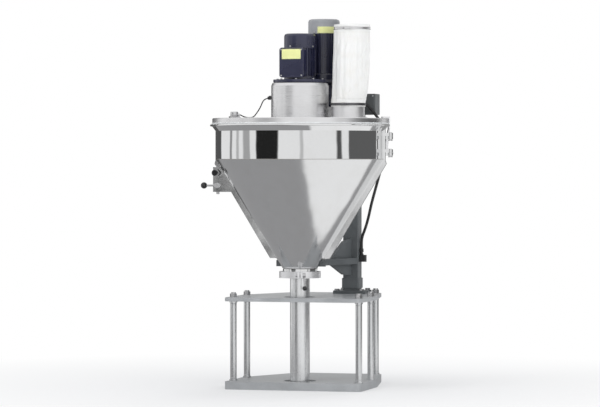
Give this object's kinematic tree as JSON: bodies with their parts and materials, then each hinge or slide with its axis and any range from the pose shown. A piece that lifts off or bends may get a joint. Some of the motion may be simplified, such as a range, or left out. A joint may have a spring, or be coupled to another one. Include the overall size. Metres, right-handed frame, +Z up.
{
  "type": "auger powder filler",
  "caption": "Vertical auger powder filler: split conical hopper with lid, drive drum and two motors, inlet sleeve and filling tube, on a height-adjustable column and post stand.",
  "frame": {"origin": "on the auger's axis, at the underside of the lower frame and the centre of its four bolt holes", "axes": "+Z up along the auger; -Y is the operator's side where the hopper door opens; +X towards the inlet sleeve"},
  "size_m": [0.7625, 0.7964, 1.426],
  "materials": {
    "plate_paint": "satin grey paint",
    "post_steel": "turned and polished",
    "fastener_steel": "stainless fasteners",
    "column_paint": "fine-textured dark grey paint",
    "polymer_pad": "natural guide plastic",
    "polished_steel": "polished stainless sheet",
    "satin_steel": "satin stainless sheet",
    "mirror_lid": "polished lid",
    "silicone": "white silicone",
    "black_knob": "phenolic",
    "drum_steel": "satin turned stainless",
    "motor_paint": "semi-gloss navy black paint",
    "cover_paint": "grey-blue paint",
    "plate_yellow": "pale yellow blank plate",
    "gear_steel": "hobbed and oiled",
    "elastomer": "coupling star",
    "bearing_steel": "ground",
    "seal_rubber": "nitrile",
    "cloth": "woven white sleeve",
    "strap_steel": "dark band clamp",
    "sensor_steel": "turned",
    "fitting_plastic": "black nylon",
    "box_paint": "dark grey paint",
    "lead_jacket": "thin black lead",
    "cable_jacket": "black cable jacket"
  },
  "bodies": {
    "stand": {"lower_frame": "plate_paint", "stand_posts": "post_steel", "post_nuts": "fastener_steel", "top_plate": "plate_paint", "foot_bolts": "fastener_steel", "column_post": "column_paint"},
    "head": {"lift_sleeve": "column_paint", "guide_pads": "polymer_pad", "head_bolts": "fastener_steel", "head_arm": "column_paint", "ring_arm": "column_paint", "neck_bracket": "polished_steel", "rear_shell": "satin_steel", "door_seal": "silicone", "hinge_pins": "fastener_steel", "lid": "mirror_lid", "lid_gasket": "silicone", "lid_latch_bases": "polished_steel", "gear_case": "drum_steel", "drive_drum": "drum_steel", "motor_plate": "motor_paint", "auger_motor": "motor_paint", "auger_fan_cover": "motor_paint", "auger_terminal_box": "motor_paint", "stirrer_reducer": "motor_paint", "stirrer_motor": "motor_paint", "stirrer_fan_cover": "cover_paint", "stirrer_terminal_box": "motor_paint", "label_plates": "plate_yellow", "bearing_hub": "satin_steel", "bearings": "bearing_steel", "shaft_seal": "seal_rubber", "filling_tube": "polished_steel", "tube_gasket": "silicone", "tube_clamp": "polished_steel", "inlet_spigot": "polished_steel", "inlet_sleeve": "cloth", "sleeve_straps": "strap_steel", "level_sensor": "sensor_steel", "cable_fittings": "fitting_plastic", "junction_box": "box_paint", "sensor_cable": "lead_jacket", "motor_cable": "cable_jacket"},
    "door": {"front_shell": "satin_steel"},
    "lever_latch": {"latch_lever": "fastener_steel", "latch_ball": "black_knob"},
    "knob_latch": {"latch_spindle": "fastener_steel", "latch_knob": "black_knob"},
    "right_lid_latch": {"lid_latch_right": "polished_steel"},
    "left_lid_latch": {"lid_latch_left": "polished_steel"},
    "auger": {"motor_shaft": "gear_steel", "coupling_spider": "elastomer", "auger_shaft": "polished_steel", "auger_screw": "polished_steel"},
    "agitator": {"agitator_gear": "gear_steel", "agitator_shaft": "satin_steel", "agitator_frame": "satin_steel"},
    "stirrer_pinion": {"pinion": "gear_steel"},
    "clamp_handle": {"clamp_lever": "fastener_steel", "clamp_ball": "black_knob"}
  },
  "joints": [
    {"name": "head_lift", "type": "slide", "parent": "stand", "child": "head", "axis": [0, 0, 1], "range_m": [0, 0.06]},
    {"name": "door_swing", "type": "hinge", "parent": "head", "child": "door", "pos_m": [0.358, 0, 0.95], "axis": [0, 0, 1], "range_deg": [0, 110]},
    {"name": "lever_latch_turn", "type": "hinge", "parent": "door", "child": "lever_latch", "pos_m": [-0.332, -0.0135, 0.782], "axis": [0, -1, 0], "range_deg": [0, 90]},
    {"name": "knob_latch_turn", "type": "hinge", "parent": "door", "child": "knob_latch", "pos_m": [-0.332, -0.0135, 0.831], "axis": [0, -1, 0], "range_deg": [0, 90]},
    {"name": "right_lid_latch_turn", "type": "hinge", "parent": "head", "child": "right_lid_latch", "pos_m": [0.29844, 0.15868, 0.928], "axis": [-0.4695, 0.8829, 0], "range_deg": [0, 60]},
    {"name": "left_lid_latch_turn", "type": "hinge", "parent": "head", "child": "left_lid_latch", "pos_m": [-0.29844, 0.15868, 0.928], "axis": [-0.4695, -0.8829, 0], "range_deg": [0, 60]},
    {"name": "auger_spin", "type": "hinge", "parent": "head", "child": "auger", "pos_m": [0, 0, 1.1], "axis": [0, 0, 1], "continuous": true},
    {"name": "agitator_spin", "type": "hinge", "parent": "head", "child": "agitator", "pos_m": [0, 0, 1.07], "axis": [0, 0, 1], "continuous": true},
    {"name": "stirrer_spin", "type": "hinge", "parent": "head", "child": "stirrer_pinion", "pos_m": [0.06757, 0.10813, 1.07], "axis": [0, 0, 1], "continuous": true},
    {"name": "clamp_handle_turn", "type": "hinge", "parent": "head", "child": "clamp_handle", "pos_m": [0.02381, -0.08886, 0.4395], "axis": [-0.9659, -0.2588, 0], "range_deg": [0, 90]}
  ],
  "couplings": [
    {"joint": "stirrer_spin", "follows": "agitator_spin", "ratio": -1.6842}
  ]
}
